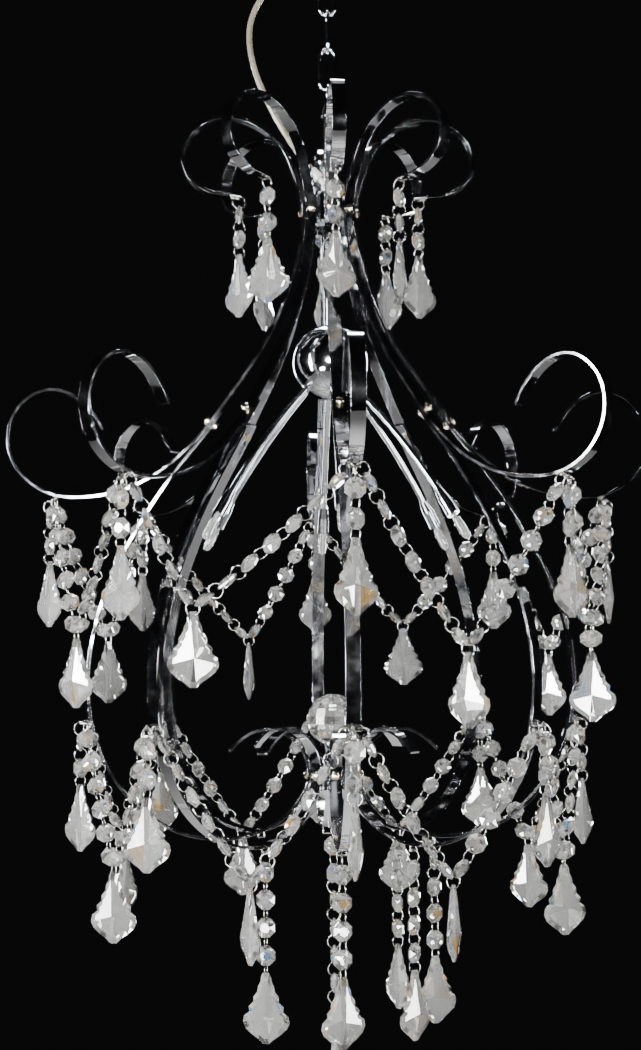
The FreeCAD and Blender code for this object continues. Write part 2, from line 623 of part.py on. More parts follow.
for name in ("top", "mid", "lower"):
    for number, t in enumerate(turns, 1):
        write("%s_string_%d" % (name, number), string_of_crystals(bar_place(name, t), t, 2))
for number, t in enumerate(BOTTOM_STRING_TURNS, 1):
    write("bottom_string_%d" % number, string_of_crystals(bar_place("bottom", t), t, 4))
write("long_string", string_of_crystals(long_bar, 0, 7))


# ---------------------------------------------------------------- swags
# A swag hangs between the staple legs of neighbouring hooks.  Each half is a row of links
# whose slopes ease from steep at the hook to shallower at the low ring.
FIRST_SLOPE = 54.0
SLOPE_SPREAD = 9.0
LEG_HANG = HANG_DROP - 0.45
# how far back along its staple leg a swag's ring sits
MID_LEG_SHARE = 0.33
LOWER_LEG_SHARE = 0.42


def half_links(beads, mean_slope):
    """(length, slope) of each link from the hook to the low ring's centre."""
    links = [(LEG_HANG + RING_RADIUS + HANG_CLEARANCE, FIRST_SLOPE)]
    count = 2 * beads
    for i in range(1, count):
        slope = mean_slope + SLOPE_SPREAD * (0.5 - i / (count - 1.0))
        length = HOLE_SPACING if i % 2 else 2 * RING_RADIUS + 2 * HANG_CLEARANCE
        links.append((length, slope))
    links.append((RING_RADIUS + HANG_CLEARANCE, links[-1][1]))
    return links


def reach_of(links):
    run = sum(length * cos(radians(slope)) for length, slope in links)
    drop = sum(length * sin(radians(slope)) for length, slope in links)
    return run, drop


def bisect(too_low, low, high):
    for _ in range(60):
        middle = (low + high) / 2
        if too_low(middle):
            low = middle
        else:
            high = middle
    return (low + high) / 2


def slope_for_drop(beads, drop):
    return bisect(lambda slope: reach_of(half_links(beads, slope))[1] < drop, 10.0, 85.0)


def swag_drop(left_beads, right_beads, chord):
    """Depth at which the two halves together just span the chord."""
    def spans_more(drop):
        return sum(reach_of(half_links(n, slope_for_drop(n, drop)))[0]
                   for n in (left_beads, right_beads)) > chord
    shorter = reach_of(half_links(min(left_beads, right_beads), 80.0))[1]
    return bisect(spans_more, 20.0, shorter)


def half_swag(start, along, across, links):
    """Rings in the swag's plane and edge-on beads, and the centre of the low ring."""
    pieces = []
    here = start
    for i, (length, slope) in enumerate(links[:-1]):
        u = along * cos(radians(slope)) - UP * sin(radians(slope))
        if i == 0:
            pieces.append(ring_at(here + u * LEG_HANG, u, u.cross(across)))
        elif i % 2:
            facing = u.cross(across)
            pieces.append(flat_piece(BEAD, here + u * length / 2, u, facing))
        else:
            pieces.append(ring_at(here + u * length / 2, u, u.cross(across)))
        here = here + u * length
    length, slope = links[-1]
    u = along * cos(radians(slope)) - UP * sin(radians(slope))
    return pieces, here + u * length


def swag(name, turn, left_beads, right_beads, leg_share):
    radius, height, (run, rise), reach = HOOKS[name]
    back = leg_share * reach / hypot(run, rise)
    leg_radius, leg_height = radius - run * back, height - rise * back
    left = polar(leg_radius, leg_height, turn, HOOK_HALF_SPAN)
    right = polar(leg_radius, leg_height, turn + 360.0 / ARM_COUNT, -HOOK_HALF_SPAN)
    chord = right - left
    along = Vector(chord).normalize()
    across = UP.cross(along)
    drop = swag_drop(left_beads, right_beads, chord.Length)
    pieces = []
    for start, way, beads in ((left, along, left_beads), (right, along * -1, right_beads)):
        links = half_links(beads, slope_for_drop(beads, drop))
        made, low_ring = half_swag(start, way, across, links)
        pieces += made
    pieces.append(ring_at(low_ring, along, UP))
    hole = low_ring - UP * (RING_RADIUS + HANG_CLEARANCE)
    pieces.append(flat_piece(DROP, hole, UP * -1, along))
    return pieces


# beads in the left and right halves of each middle swag, from the front one round
MID_SWAG_BEADS = ((7, 7), (7, 7), (7, 7), (6, 6), (6, 7), (6, 7), (6, 7), (5, 7))
LOWER_SWAG_BEADS = (6, 6)

mid_swags, lower_swags = [], []
for t, (left_beads, right_beads) in zip(turns, MID_SWAG_BEADS):
    mid_swags += swag("mid", t, left_beads, right_beads, MID_LEG_SHARE)
    lower_swags += swag("lower", t, *LOWER_SWAG_BEADS, LOWER_LEG_SHARE)
write("mid_swags", mid_swags)
write("lower_swags", lower_swags)
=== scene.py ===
# %% [markdown]
# # A crystal chandelier, dressed in Blender
#
# The chandelier hangs under a ceiling at z = 0, on the Z axis. Its chrome frame arrives
# ready made, as fixed nodes in metres. This lesson adds what the frame can't show: cut
# crystals on wire rings, glass lamps, the clear supply flex, the finishes and the light.
# Nothing from the frame is moved. New pieces repeat the places of the plain stand-ins
# that they replace, so that they hang and swing on the same hooks.

# %% Load the frame
import json
import random
from math import cos, hypot, pi, radians, sin
import bmesh
import bpy
from mathutils import Matrix, Vector


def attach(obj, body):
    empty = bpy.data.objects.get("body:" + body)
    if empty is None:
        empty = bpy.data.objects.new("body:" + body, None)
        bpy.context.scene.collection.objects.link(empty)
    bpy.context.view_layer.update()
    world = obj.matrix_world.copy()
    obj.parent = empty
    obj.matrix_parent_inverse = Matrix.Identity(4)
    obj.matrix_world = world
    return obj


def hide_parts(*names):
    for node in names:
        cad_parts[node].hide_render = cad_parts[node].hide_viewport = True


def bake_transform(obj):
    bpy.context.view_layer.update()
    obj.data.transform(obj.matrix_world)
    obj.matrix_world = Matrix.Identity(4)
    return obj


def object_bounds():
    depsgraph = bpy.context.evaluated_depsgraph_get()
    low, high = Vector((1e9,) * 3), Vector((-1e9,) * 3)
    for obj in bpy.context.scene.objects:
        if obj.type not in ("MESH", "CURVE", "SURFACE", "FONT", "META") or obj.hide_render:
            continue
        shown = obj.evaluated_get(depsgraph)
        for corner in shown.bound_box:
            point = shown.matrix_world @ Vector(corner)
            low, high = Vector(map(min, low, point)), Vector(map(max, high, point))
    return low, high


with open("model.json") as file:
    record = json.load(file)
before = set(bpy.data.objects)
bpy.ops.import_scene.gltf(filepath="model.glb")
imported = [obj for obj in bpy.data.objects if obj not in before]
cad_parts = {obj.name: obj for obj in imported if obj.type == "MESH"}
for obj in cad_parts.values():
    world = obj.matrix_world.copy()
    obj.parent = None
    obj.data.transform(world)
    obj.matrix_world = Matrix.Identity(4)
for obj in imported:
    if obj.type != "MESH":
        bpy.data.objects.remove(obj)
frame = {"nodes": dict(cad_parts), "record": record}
cad_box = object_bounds()
print("frame box:", [[round(v, 4) for v in corner] for corner in cad_box])

# %% [markdown]
# Lengths below are written in millimetres and turned into metres by `MM`. Heights are
# measured from the widest circle of the cage, which hangs 600 mm under the ceiling. A
# place is given by its radius, its height and its turn: degrees round the axis, from the
# front (-Y) towards +X. `side` is a step along the tangent.

# %% Shared measures
MM = 0.001
CEILING_HEIGHT = 600.0
TURNS = [45.0 * i for i in range(8)]
UP = Vector((0, 0, 1))


def polar(radius, height, turn=0.0, side=0.0):
    a = radians(turn)
    x = radius * sin(a) + side * cos(a)
    y = -radius * cos(a) + side * sin(a)
    return Vector((x, y, height - CEILING_HEIGHT)) * MM


def outward(turn):
    return Vector((sin(radians(turn)), -cos(radians(turn)), 0))


def sideways(turn):
    return Vector((cos(radians(turn)), sin(radians(turn)), 0))


# %% [markdown]
# ## Camera
# The viewer stands a little left of the front, at about the height of the cage's widest
# circle, and looks slightly up. The lens takes in the whole frame, without the ceiling.
# The camera's matrix is built from its own right, up and backward directions, which is
# simpler than three Euler angles when there is a slight roll.

# %% Camera
CAMERA_DISTANCE = 1232.0
CAMERA_TURN = -4.09
CAMERA_YAW = 0.40
CAMERA_PITCH = radians(5.17)
CAMERA_ROLL = radians(0.45)
LENS = 54.14

heading = radians(-CAMERA_TURN - CAMERA_YAW)
level = Vector((sin(heading), cos(heading), 0))
forward = level * cos(CAMERA_PITCH) + UP * sin(CAMERA_PITCH)
flat_right = level.cross(UP)
flat_up = flat_right.cross(forward)
right = flat_right * cos(CAMERA_ROLL) - flat_up * sin(CAMERA_ROLL)
above = flat_right * sin(CAMERA_ROLL) + flat_up * cos(CAMERA_ROLL)
camera_data = bpy.data.cameras.new("camera")
camera_data.sensor_fit = "VERTICAL"
camera_data.sensor_height = 36.0
camera_data.lens = LENS
camera = bpy.data.objects.new("camera", camera_data)
bpy.context.scene.collection.objects.link(camera)
camera.matrix_world = Matrix.LocRotScale(
    polar(CAMERA_DISTANCE, 0, CAMERA_TURN), Matrix((right, above, -forward)).transposed(), None)
bpy.context.scene.camera = camera
print("camera at", [round(v, 3) for v in camera.location])

# %% [markdown]
# ## Small tools
# Every new piece is made in its own bmesh, where operators shape it, and ends as one
# mesh object at the origin with its place in its vertices. `laid` gives the matrix that
# carries a shape drawn about the origin to its place, with its X and Z along two
# directions. `stamp` adds a copy of a finished small mesh to a bigger piece.


# %% Tools for pieces
def laid(place, x_axis, z_axis):
    x_dir = x_axis.normalized()
    z_dir = z_axis.normalized()
    turn = Matrix((x_dir, z_dir.cross(x_dir), z_dir)).transposed()
    return Matrix.LocRotScale(place, turn, None)


def stamp(bm, master, place):
    first = len(bm.verts)
    bm.from_mesh(master)
    bm.verts.ensure_lookup_table()
    bmesh.ops.transform(bm, matrix=place, verts=bm.verts[first:])


def as_mesh(bm, name, smooth=False):
    for face in bm.faces:
        face.smooth = smooth
    mesh = bpy.data.meshes.new(name)
    bm.to_mesh(mesh)
    bm.free()
    return mesh


def add_piece(mesh, material, body, stands_for=()):
    mesh.materials.clear()
    mesh.materials.append(material)
    piece = bpy.data.objects.new(mesh.name, mesh)
    bpy.context.scene.collection.objects.link(piece)
    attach(piece, body)
    if stands_for:
        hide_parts(*stands_for)
    return piece


# %% [markdown]
# ## Finishes
# A finish is one Principled shader. Numbers that are the same all over sit on the
# shader's own sockets. What varies over the surface, such as polish and fine waviness,
# comes from a noise on Object coordinates, so it stays on the metal when the piece swings.


# %% Tools for finishes
FINISHES = {}


def finish(name, **sockets):
    material = FINISHES[name] = bpy.data.materials.new(name)
    material.use_nodes = True
    shader = material.node_tree.nodes["Principled BSDF"]
    for socket, value in sockets.items():
        shader.inputs[socket.replace("_", " ")].default_value = value
    return material, shader


def noise(material, scale, detail=3.0):
    tree = material.node_tree
    coordinates = tree.nodes.new("ShaderNodeTexCoord")
    texture = tree.nodes.new("ShaderNodeTexNoise")
    texture.inputs["Scale"].default_value = scale
    texture.inputs["Detail"].default_value = detail
    tree.links.new(coordinates.outputs["Object"], texture.inputs["Vector"])
    return texture.outputs["Fac"]


def vary(material, shader, socket, factor, low, high):
    """The socket runs from low to high with a factor; low and high are numbers or colours."""
    tree = material.node_tree
    if isinstance(low, tuple):
        ramp = tree.nodes.new("ShaderNodeMix")
        ramp.data_type = "RGBA"
        ramp.inputs["A"].default_value = low
        ramp.inputs["B"].default_value = high
        tree.links.new(factor, ramp.inputs["Factor"])
        tree.links.new(ramp.outputs["Result"], shader.inputs[socket])
    else:
        ramp = tree.nodes.new("ShaderNodeMapRange")
        ramp.inputs["To Min"].default_value = low
        ramp.inputs["To Max"].default_value = high
        ramp.inputs["From Min"].default_value = 0.3
        ramp.inputs["From Max"].default_value = 0.7
        tree.links.new(factor, ramp.inputs["Value"])
        tree.links.new(ramp.outputs["Result"], shader.inputs[socket])


def waves(material, shader, factor, strength, distance):
    tree = material.node_tree
    bump = tree.nodes.new("ShaderNodeBump")
    bump.inputs["Strength"].default_value = strength
    bump.inputs["Distance"].default_value = distance
    tree.links.new(factor, bump.inputs["Height"])
    tree.links.new(bump.outputs["Normal"], shader.inputs["Normal"])


# %% [markdown]
# Chrome plating on bent flat bar is a dark mirror: it shows its surroundings, with a
# few slow waves where the bar was bent and duller streaks where it was polished.

# %% Metal finishes
chrome, shader = finish("chrome", Base_Color=(0.62, 0.63, 0.66, 1), Metallic=1.0)
vary(chrome, shader, "Roughness", noise(chrome, 90, 6), 0.035, 0.11)
waves(chrome, shader, noise(chrome, 28, 1), 0.12, 0.0006)

silver_wire, shader = finish("silver_wire", Metallic=1.0)
vary(silver_wire, shader, "Base Color", noise(silver_wire, 160), (0.30, 0.29, 0.27, 1), (0.50, 0.485, 0.45, 1))
vary(silver_wire, shader, "Roughness", noise(silver_wire, 300), 0.12, 0.26)

brass_screw, shader = finish("brass_screw", Metallic=1.0)
vary(brass_screw, shader, "Base Color", noise(brass_screw, 220), (0.72, 0.60, 0.38, 1), (0.88, 0.80, 0.62, 1))
vary(brass_screw, shader, "Roughness", noise(brass_screw, 400), 0.10, 0.24)

steel_nut, shader = finish("steel_nut", Metallic=1.0)
vary(steel_nut, shader, "Base Color", noise(steel_nut, 180), (0.42, 0.42, 0.43, 1), (0.58, 0.58, 0.60, 1))
vary(steel_nut, shader, "Roughness", noise(steel_nut, 260), 0.24, 0.42)
print("metals:", sorted(FINISHES))

# %% [markdown]
# Cut glass is clear, but it never looks empty: each facet mirrors or bends in a pale
# wall or a lamp. Full transmission in a dark studio would turn it black, so a share of
# the shader is left as a white body, which stands for the light that bounces inside.
# A few facets of each crystal split the light, so a painted blue or amber tint stands for it,
# and the rest are painted bright or dim, all in the face attribute `painted_facet_light`.

# %% Glass and plastic finishes
crystal, shader = finish("crystal", Roughness=0.01, IOR=1.58, Transmission_Weight=0.90)
tree = crystal.node_tree
# the base colour is painted light: each facet is painted bright, dim or tinted
painted_facet_light = tree.nodes.new("ShaderNodeAttribute")
painted_facet_light.attribute_name = "painted_facet_light"
tree.links.new(painted_facet_light.outputs["Color"], shader.inputs["Base Color"])
waves(crystal, shader, noise(crystal, 60, 1), 0.05, 0.0005)

lamp_glass, shader = finish(
    "lamp_glass", Base_Color=(0.96, 0.97, 0.98, 1), IOR=1.47, Transmission_Weight=0.88)
vary(lamp_glass, shader, "Roughness", noise(lamp_glass, 120), 0.02, 0.10)

clear_flex, shader = finish("clear_flex", IOR=1.50, Transmission_Weight=0.30, Coat_Weight=0.4)
vary(clear_flex, shader, "Base Color", noise(clear_flex, 45, 2), (0.15, 0.13, 0.095, 1), (0.29, 0.26, 0.205, 1))
vary(clear_flex, shader, "Roughness", noise(clear_flex, 200), 0.18, 0.32)
waves(clear_flex, shader, noise(clear_flex, 260, 1), 0.25, 0.0004)

clear_gland, shader = finish("clear_gland", IOR=1.50, Transmission_Weight=0.45)
vary(clear_gland, shader, "Base Color", noise(clear_gland, 70), (0.70, 0.68, 0.64, 1), (0.86, 0.85, 0.82, 1))
vary(clear_gland, shader, "Roughness", noise(clear_gland, 180), 0.20, 0.38)

transformer_case, shader = finish("transformer_case")
vary(transformer_case, shader, "Base Color", noise(transformer_case, 90), (0.62, 0.62, 0.60, 1), (0.74, 0.74, 0.72, 1))
vary(transformer_case, shader, "Roughness", noise(transformer_case, 300), 0.42, 0.60)

terminal_plastic, shader = finish("terminal_plastic", Transmission_Weight=0.15)
vary(terminal_plastic, shader, "Base Color", noise(terminal_plastic, 120), (0.78, 0.77, 0.72, 1), (0.88, 0.87, 0.83, 1))
vary(terminal_plastic, shader, "Roughness", noise(terminal_plastic, 260), 0.30, 0.48)
print("finishes:", sorted(FINISHES))

# %% [markdown]
# The frame's nodes keep their shapes and take these finishes. The record says which
# finish each node has, so the loop below reads it there.

# %% Finish the frame
for part in frame["record"]["subparts"]:
    node = frame["nodes"][part["node"]]
    node.data.materials.clear()
    node.data.materials.append(FINISHES[part["material_slot"]])
print(len(frame["nodes"]), "nodes finished")

# %% [markdown]
# ### Rounded bar edges
# The flat bar's edges are rolled, not sharp, and they catch the studio's panels as long
# thin lines. That line is most of what the eye sees of a dark mirror bar. The frame's
# bars have square edges, so a merged copy of each set of bars has its sharp edges
# bevelled in two segments. The bevel's border is marked sharp, which keeps the broad
# faces flat in shading while the rolled edge stays round.

# %% Round the bars
EDGE_ROUND = 0.45
SHARP_ANGLE = radians(50)


def rounded_copy(node_name, name, width):
    bm = bmesh.new()
    bm.from_mesh(frame["nodes"][node_name].data)
    bmesh.ops.remove_doubles(bm, verts=bm.verts, dist=0.00001)
    sharp = [e for e in bm.edges if len(e.link_faces) == 2 and e.calc_face_angle() > SHARP_ANGLE]
    made = bmesh.ops.bevel(bm, geom=sharp, offset=width * MM, offset_type="OFFSET", segments=2,
                           profile=0.5, affect="EDGES", material=-1, clamp_overlap=True)
    rolled = set(made["faces"])
    for edge in bm.edges:
        if len({face in rolled for face in edge.link_faces}) == 2:
            edge.smooth = False
    return as_mesh(bm, name, smooth=True)


for node_name in ("scroll_arms", "cage_ribs"):
    bars = rounded_copy(node_name, "rounded_" + node_name, EDGE_ROUND)
    add_piece(bars, chrome, "chandelier", [node_name])
    print(node_name, len(bars.polygons), "faces")

# %% [markdown]
# ## Supply flex
# The flex is a two-core cable in a clear sheath. It leaves the gland under the canopy,
# bows out past the chain and comes back to a gland on the stem. It is a free cord, so it
# is a NURBS curve with a round bevel. Order and end points are set after the points,
# because a new spline would clamp them back to straight runs. It crosses the ceiling
# loop's hinge, and it is turned into a mesh.

# %% Supply flex
FLEX_ROUTE = [(-38, 0, 568), (-43, 2, 552), (-54, 3, 538), (-62.5, 3, 519), (-63, 1, 497),
              (-58, -1, 474), (-48.5, -2, 451), (-37, -1.5, 429), (-24.5, -0.5, 410),
              (-13.3, 0, 396.5)]
FLEX_DIAMETER = 4.8


def flex_curve(name, bevel):
    curve = bpy.data.curves.new(name, "CURVE")
    curve.dimensions = "3D"
    curve.bevel_depth = bevel
    curve.bevel_resolution = 5
    curve.resolution_u = 12
    spline = curve.splines.new("NURBS")
    spline.points.add(len(FLEX_ROUTE) - 1)
    for point, (x, y, height) in zip(spline.points, FLEX_ROUTE):
        point.co = (x * MM, y * MM, (height - CEILING_HEIGHT) * MM, 1)
    spline.order_u = 3
    spline.use_endpoint_u = True
    return bpy.data.objects.new(name, curve)


line = bpy.data.meshes.new_from_object(flex_curve("flex_line", 0))
flex_mesh = bpy.data.meshes.new_from_object(flex_curve("flex_tube", FLEX_DIAMETER / 2 * MM))
flex_mesh.name = "clear_supply_flex"
flex_mesh.materials.clear()
flex_mesh.materials.append(clear_flex)
supply_flex = bpy.data.objects.new("clear_supply_flex", flex_mesh)
bpy.context.scene.collection.objects.link(supply_flex)
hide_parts("supply_flex")
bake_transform(supply_flex)

# %% [markdown]
# ## The small masters
# ### Octagon bead
# The bead is a flat octagon, cut with a table on both sides. A circle of eight corners
# is pulled out into the thin girdle, and each end face is pulled again, made smaller
# and turned by half a step. The turn makes the side walls triangles, as the cutter's
# star facets are, and needs only 42 faces, which matters for a piece repeated 275 times.

# %% Octagon bead
BEAD_CORNER = 7.0 / cos(radians(22.5))
BEAD_TABLE = 3.5
BEAD_EDGE = 0.7
BEAD_HALF = 3.0
BEAD_PITCH = 20.0


def pull_face(bm, face, rise, scale, turn=0.0, centre=Vector((0, 0, 0))):
    """Pulls a face along Z by rise, then scales and turns it about a centre; returns it."""
    made = bmesh.ops.extrude_face_region(bm, geom=[face], use_keep_orig=False)["geom"]
    pulled = [g for g in made if isinstance(g, bmesh.types.BMFace)][0]
    bmesh.ops.translate(bm, vec=Vector((0, 0, rise)), verts=pulled.verts)
    space = Matrix.Translation(-centre)
    bmesh.ops.scale(bm, vec=(scale, scale, 1), verts=pulled.verts, space=space)
    bmesh.ops.rotate(bm, cent=centre, matrix=Matrix.Rotation(turn, 3, "Z"), verts=pulled.verts)
    if face.is_valid:
        bmesh.ops.delete(bm, geom=[face], context="FACES_ONLY")
    return pulled


def end_faces(bm):
    by_height = sorted(bm.faces, key=lambda f: f.calc_center_median().z)
    return by_height[0], by_height[-1]


def half_cut_crystal(bm, shape_end):
    """Thickens the drawn outline into a girdle and calls shape_end on its two end faces."""
    outline = bm.faces[:]
    bmesh.ops.translate(bm, vec=(0, 0, -BEAD_EDGE * MM), verts=bm.verts)
    made = bmesh.ops.extrude_face_region(bm, geom=outline, use_keep_orig=True)["geom"]
    top = [g for g in made if isinstance(g, bmesh.types.BMVert)]
    bmesh.ops.translate(bm, vec=(0, 0, 2 * BEAD_EDGE * MM), verts=top)
    low, high = end_faces(bm)
    shape_end(bm, low, -1)
    shape_end(bm, high, 1)
    bmesh.ops.recalc_face_normals(bm, faces=bm.faces)


def shape_bead_end(bm, face, sign):
    pull_face(bm, face, sign * (BEAD_HALF - BEAD_EDGE) * MM, BEAD_TABLE / BEAD_CORNER, pi / 8)


bm = bmesh.new()
bmesh.ops.create_circle(bm, segments=8, radius=BEAD_CORNER * MM, cap_ends=True)
bmesh.ops.rotate(bm, matrix=Matrix.Rotation(pi / 8, 3, "Z"), verts=bm.verts)
half_cut_crystal(bm, shape_bead_end)
warped = [f for f in bm.faces if len(f.verts) == 4 and abs(f.normal.z) > 0.1]
bmesh.ops.triangulate(bm, faces=warped)
bead_master = as_mesh(bm, "bead_master")
print("bead:", len(bead_master.polygons), "faces")

# %% [markdown]
# ### Leaf drop
# The drop is a leaf: narrow at its hole, widest two thirds down, with a pointed tip.
# Its shoulders are ground into small scallops and its lower edge is a plain curve. One
# face is drawn from the half outline and its mirror, the shoulder edges are divided and
# their middles pressed in for the scallops, and both sides are then pulled up: first a
# narrow ground band, then one point. Ridges run from it to the hole, the shoulders, the
# sides and the tip, and all between two ridges is one broad flat facet.

# %% Leaf drop
DROP_OUTLINE = [(2.2, 3.0), (3.6, 0.0), (6.0, -7.0), (9.5, -14.5), (13.2, -21.5), (16.6, -28.0),
                (17.4, -32.5), (15.4, -37.0), (10.6, -41.0), (6.0, -44.0), (2.2, -47.5)]
DROP_RIDGES = (0, 3, 6, 10)
DROP_RIDGE_CORNERS = [(side * DROP_OUTLINE[i][0], DROP_OUTLINE[i][1])
                      for i in DROP_RIDGES for side in (-1, 1)]
DROP_CENTRE = Vector((0, -28 * MM, 0))
SCALLOP = 0.84
DROP_BAND_RISE = 1.3
DROP_BAND_SCALE = 0.80
DROP_HALF = 4.5


def is_ridge_end(vertex):
    """True at the band's corner next to one of the outline's ridge corners."""
    for w, y in DROP_RIDGE_CORNERS:
        corner = Vector((w * MM, y * MM, 0))
        banded = DROP_CENTRE + (corner - DROP_CENTRE) * DROP_BAND_SCALE
        if (vertex.co.xy - banded.xy).length < 0.01 * MM:
            return True
    return False


def flatten_facets(bm, corners, peak):
    """Between two ridges, drops the corners onto one plane and joins the small facets."""
    first = next(i for i, v in enumerate(corners) if is_ridge_end(v))
    corners = corners[first:] + corners[:first + 1]
    ridge_at = [i for i, v in enumerate(corners) if is_ridge_end(v)]
    for a, b in zip(ridge_at[:-1], ridge_at[1:]):
        normal = (corners[a].co - peak.co).cross(corners[b].co - peak.co)
        for v in corners[a + 1:b]:
            step = v.co - peak.co
            v.co.z = peak.co.z - (normal.x * step.x + normal.y * step.y) / normal.z
    spokes = [e for e in peak.link_edges if not is_ridge_end(e.other_vert(peak))]
    bmesh.ops.dissolve_edges(bm, edges=spokes, use_verts=False)


def shape_drop_end(bm, face, sign):
    band = pull_face(bm, face, sign * DROP_BAND_RISE * MM, DROP_BAND_SCALE, 0, DROP_CENTRE)
    corners = band.verts[:]
    peak = bmesh.ops.poke(bm, faces=[band])["verts"][0]
    peak.co = Vector((0, DROP_CENTRE.y, sign * DROP_HALF * MM))
    flatten_facets(bm, corners, peak)


bm = bmesh.new()
corners = [(w, y) for w, y in DROP_OUTLINE] + [(-w, y) for w, y in DROP_OUTLINE[::-1]]
leaf = bm.faces.new([bm.verts.new((x * MM, y * MM, 0)) for x, y in corners])
shoulders = [e for e in bm.edges if all(-29 * MM < v.co.y < 1 * MM for v in e.verts)
             and e.verts[0].co.x * e.verts[1].co.x > 0]
cut = bmesh.ops.subdivide_edges(bm, edges=shoulders, cuts=1)["geom_inner"]
notches = [g for g in cut if isinstance(g, bmesh.types.BMVert)]
bmesh.ops.scale(bm, vec=(SCALLOP, 1, 1), verts=notches)
half_cut_crystal(bm, shape_drop_end)
drop_master = as_mesh(bm, "drop_master")
print("drop:", len(drop_master.polygons), "faces,", len(notches), "scallops")

# %% [markdown]
# ### Wire ring
# The rings are bent from thin sprung wire. A four-sided section is enough at this size,
# because smooth shading rounds it. The section circle is spun once round the Z axis.

# %% Wire ring
RING_RADIUS = 5.05
RING_WIRE = 0.45
RING_STEPS = 14

bm = bmesh.new()
bmesh.ops.create_circle(bm, segments=4, radius=RING_WIRE * MM)
bmesh.ops.rotate(bm, matrix=Matrix.Rotation(pi / 2, 3, "X"), verts=bm.verts)
bmesh.ops.translate(bm, vec=(RING_RADIUS * MM, 0, 0), verts=bm.verts)
bmesh.ops.spin(bm, geom=bm.edges[:] + bm.verts[:], cent=(0, 0, 0), axis=(0, 0, 1),
               angle=2 * pi, steps=RING_STEPS, use_merge=True)
bmesh.ops.remove_doubles(bm, verts=bm.verts, dist=0.00001)
bmesh.ops.recalc_face_normals(bm, faces=bm.faces)
ring_master = as_mesh(bm, "ring_master", smooth=True)
print("ring:", len(ring_master.polygons), "faces")

# %% [markdown]
# ## Hanging strings
# Each string starts on the cross bar of a wire hook. Ring, bead, ring, bead and so on
# hang straight down, and the leaf drop is last. A ring passes through a bead's hole, so
# the two stand at right angles, but there is enough play for a string to twist a
# quarter turn over a few links. `FACING` says which way each string's drop looks in
# the end, in degrees of turn, and the links ease towards it from the hook.

# %% Where the links go
HOOK_WIRE = 0.6
HOOK_HALF_SPAN = 3.4
PLAY = 0.10
HANG_DROP = RING_RADIUS - RING_WIRE - HOOK_WIRE - PLAY
HOLE_SPACING = BEAD_PITCH - 2 * RING_RADIUS - 2 * PLAY
RING_TO_HOLE = RING_RADIUS + PLAY
TWIST_PER_LINK = 22.0
# the first ring and bead hardly turn, so they stay clear of the swags when they swing
HOOK_FREEDOM = (0, 0.2)
RING, BEAD, DROP = "ring", "bead", "drop"


def ring_place(centre, along, across):
    return laid(centre, along, along.cross(across))


def flat_place(place, along, facing):
    """For a bead or drop: its Y looks back along the string, its flat side looks at facing."""
    return laid(place, (-along).cross(facing), facing)


def hanging_links(bar, turn, beads, facing_turn, dice):
    """The links of one string as (kind, matrix), from its hook's bar down to the drop."""
    down = -UP
    links = []
    here = bar + down * HANG_DROP * MM
    twist = (facing_turn - turn + 180) % 360 - 180
    now = 0.0
    for i in range(2 * beads + 2):
        step = max(-TWIST_PER_LINK, min(TWIST_PER_LINK, twist - now))
        freedom = HOOK_FREEDOM[i] if i < len(HOOK_FREEDOM) else 1
        now += freedom * step
        facing = outward(turn + now + freedom * dice.uniform(-5, 5))
        if i == 2 * beads + 1:
            links.append((DROP, flat_place(here, down, facing)))
        elif i % 2:
            links.append((BEAD, flat_place(here + down * HOLE_SPACING / 2 * MM, down, facing)))
            here = here + down * (HOLE_SPACING + RING_TO_HOLE) * MM
        else:
            links.append((RING, ring_place(here, down, facing)))
            here = here + down * RING_TO_HOLE * MM
    return links


# %% [markdown]
# ### Painted facet light
# `build_links` turns a list of links into two pieces: the crystals and the rings. It
# paints light and shade into the face attribute `painted_facet_light`: facets painted bright
# or dim, and a painted blue or amber tint for fire on a few facets, chosen by a seeded
# generator, so that every run gives the same sparkle.

# %% Build a row of links
# painted fire: a few facets get a blue or amber tint that stands for split light
PAINTED_FIRE_SHARE = 0.04
PAINTED_FIRE_TINTS = [(0.35, 0.55, 1.0, 1), (1.0, 0.62, 0.25, 1), (0.75, 0.85, 1.0, 1), (1.0, 0.85, 0.6, 1)]
# painted light and shade: a facet is painted bright, or painted dim at random for the dark side of the room it would
# show
PAINTED_CLEAR_FACETS = [(0.96, 0.96, 0.95, 1), (0.96, 0.96, 0.95, 1), (0.80, 0.80, 0.78, 1), (0.55, 0.55, 0.53, 1),
         (0.22, 0.22, 0.21, 1)]
# square metres; a broader facet is never painted dark
BROAD_FACET = 30e-6
MASTERS = {BEAD: bead_master, DROP: drop_master}


# paints each facet bright, dim or tinted: painted reflections and painted fire
def paint_facet_light(mesh, dice):
    layer = mesh.color_attributes.new("painted_facet_light", "FLOAT_COLOR", "CORNER")
    for face in mesh.polygons:
        # the choices are painted bright and dim values; broad facets get only the bright ones
        clear = PAINTED_CLEAR_FACETS[:3] if face.area > BROAD_FACET else PAINTED_CLEAR_FACETS
        painted_tint = dice.choice(PAINTED_FIRE_TINTS if dice.random() < PAINTED_FIRE_SHARE else clear)
        for corner in face.loop_indices:
            layer.data[corner].color = painted_tint


def build_links(name, links, body, stands_for, dice):
    crystals, rings = bmesh.new(), bmesh.new()
    for kind, place in links:
        if kind == RING:
            stamp(rings, ring_master, place)
        else:
            stamp(crystals, MASTERS[kind], place)
    crystal_mesh = as_mesh(crystals, name + "_crystals")
    paint_facet_light(crystal_mesh, dice)
    add_piece(crystal_mesh, crystal, body, [stands_for])
    add_piece(as_mesh(rings, name + "_rings", smooth=True), silver_wire, body,
              [stands_for])


# %% [markdown]
# The hooks' bars are at four heights: the arms' top curls, the outer scrolls, the sides
# of the cage and its underside. The underside has only five strings, and one longer one
# near the middle, which hangs lower than the rest.

